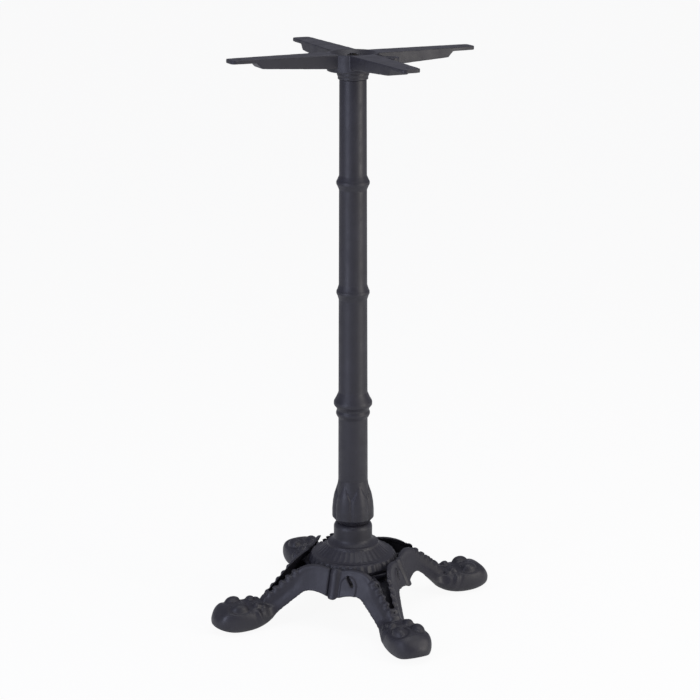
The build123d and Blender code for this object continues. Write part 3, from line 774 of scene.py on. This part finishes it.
def lay_floor():
    """A wide round floor under the table base."""
    floor = bmesh.new()
    bmesh.ops.create_circle(floor, cap_ends=True, segments=96, radius=30)
    mesh = bpy.data.meshes.new("studio_floor")
    floor.to_mesh(mesh)
    floor.free()
    mesh.materials.append(finish_from(pale_studio_floor))
    ground = bpy.data.objects.new("studio_floor", mesh)
    bpy.context.scene.collection.objects.link(ground)


def studio_world(strength):
    """Pale fill light from all round, white where the camera sees it."""
    made = bpy.data.worlds.new("studio")
    made.use_nodes = True
    tree = made.node_tree
    tree.nodes.clear()
    path = add_node(tree, "ShaderNodeLightPath")
    seen = add_node(tree, "ShaderNodeMath", {"operation": "MAXIMUM"},
                    {0: path.outputs["Is Camera Ray"], 1: path.outputs["Is Transmission Ray"]})
    fill = add_node(tree, "ShaderNodeBackground",
                    {"Color": linear("#dfe0f2") + (1,), "Strength": strength})
    white = add_node(tree, "ShaderNodeBackground", {"Color": (1, 1, 1, 1), "Strength": 1.0})
    both = add_node(tree, "ShaderNodeMixShader", {},
                    {0: seen.outputs[0], 1: fill.outputs[0], 2: white.outputs[0]})
    add_node(tree, "ShaderNodeOutputWorld", {}, {"Surface": both.outputs[0]})
    return made


def around(sizes, turn, distance, height):
    """A place about the column, turn degrees to the right of the camera."""
    angle = sizes.azimuth + radians(turn)
    return (sin(angle) * distance, -cos(angle) * distance, height)


def place_object(name, data, place, ahead):
    """Links a lamp or camera that stands at place and looks ahead."""
    made = bpy.data.objects.new(name, data)
    aim = Vector(ahead).to_track_quat("-Z", "Y").to_matrix().to_4x4()
    made.matrix_world = Matrix.Translation(place) @ aim
    bpy.context.scene.collection.objects.link(made)
    return made


def lamp(name, size, power, place, target, tint):
    """A soft box at place that looks at target."""
    light = bpy.data.lights.new(name, "AREA")
    light.shape = "RECTANGLE"
    light.size, light.size_y = size
    light.energy = power
    light.color = linear(tint)
    place_object(name, light, place, Vector(target) - Vector(place))


def photo_camera(sizes):
    """The camera at the photo's viewing angle."""
    camera = bpy.data.cameras.new("photo_camera")
    camera.lens = sizes.lens
    camera.sensor_width = SENSOR_WIDTH
    camera.shift_x = FRAME_SHIFT / FRAME_WIDTH
    level = cos(sizes.pitch)
    ahead = (-sin(sizes.azimuth) * level, cos(sizes.azimuth) * level, -sin(sizes.pitch))
    return place_object("photo_camera", camera, around(sizes, 0, sizes.distance, sizes.height), ahead)


class TABLEBASE_OT_stage(Operator):
    """Lays the floor, hangs the soft boxes and sets the camera."""
    bl_idname = "tablebase.stage"
    bl_label = "Studio"

    def execute(self, context):
        scene = context.scene
        sizes = scene.base_stage
        scene.view_settings.view_transform = "Standard"
        lay_floor()
        scene.world = studio_world(sizes.fill)
        lamp("left_soft_box", size=(0.5, 2.4), power=sizes.left_power, tint="#dfe4ff",
             place=around(sizes, turn=-46, distance=2.6, height=0.9), target=(0, 0, 0.5))
        lamp("right_soft_box", size=(0.6, 2.4), power=sizes.right_power, tint="#fffaf2",
             place=around(sizes, turn=66, distance=2.5, height=0.9), target=(0, 0, 0.5))
        lamp("top_soft_box", size=(2.0, 2.0), power=sizes.top_power, tint="#ffffff",
             place=(0.2, -0.4, 3.2), target=(0, 0, 0.8))
        scene.camera = photo_camera(sizes)
        return {"FINISHED"}


class TABLEBASE_PT_pieces(Panel):
    """Lists the sizes, the pieces and the stage in the sidebar."""
    bl_idname = "TABLEBASE_PT_pieces"
    bl_label = "Table base"
    bl_space_type = "VIEW_3D"
    bl_region_type = "UI"
    bl_category = "Table base"

    def draw(self, context):
        for group in GROUPS:
            owner = getattr(context.scene, group)
            box = self.layout.box()
            for name in owner.__annotations__:
                box.prop(owner, name)
        for maker in OPERATORS:
            self.layout.operator(maker.bl_idname)


GROUPS = {"base_finish": CastFinish, "base_skin": CastSkin, "base_column": ColumnSizes,
          "base_stage": StageSizes}
OPERATORS = (TABLEBASE_OT_legs, TABLEBASE_OT_bell, TABLEBASE_OT_column, TABLEBASE_OT_spider,
             TABLEBASE_OT_hardware, TABLEBASE_OT_stage)


def register():
    for name, group in GROUPS.items():
        bpy.utils.register_class(group)
        setattr(bpy.types.Scene, name, PointerProperty(type=group))
    for kind in (*OPERATORS, TABLEBASE_PT_pieces):
        bpy.utils.register_class(kind)


def unregister():
    for kind in reversed((*OPERATORS, TABLEBASE_PT_pieces)):
        bpy.utils.unregister_class(kind)
    for name, group in reversed(GROUPS.items()):
        delattr(bpy.types.Scene, name)
        bpy.utils.unregister_class(group)


def main():
    register()
    bpy.ops.tablebase.legs()
    bpy.ops.tablebase.bell()
    bpy.ops.tablebase.column()
    bpy.ops.tablebase.spider()
    bpy.ops.tablebase.hardware()
    bpy.ops.tablebase.stage()


if __name__ == "__main__":
    main()
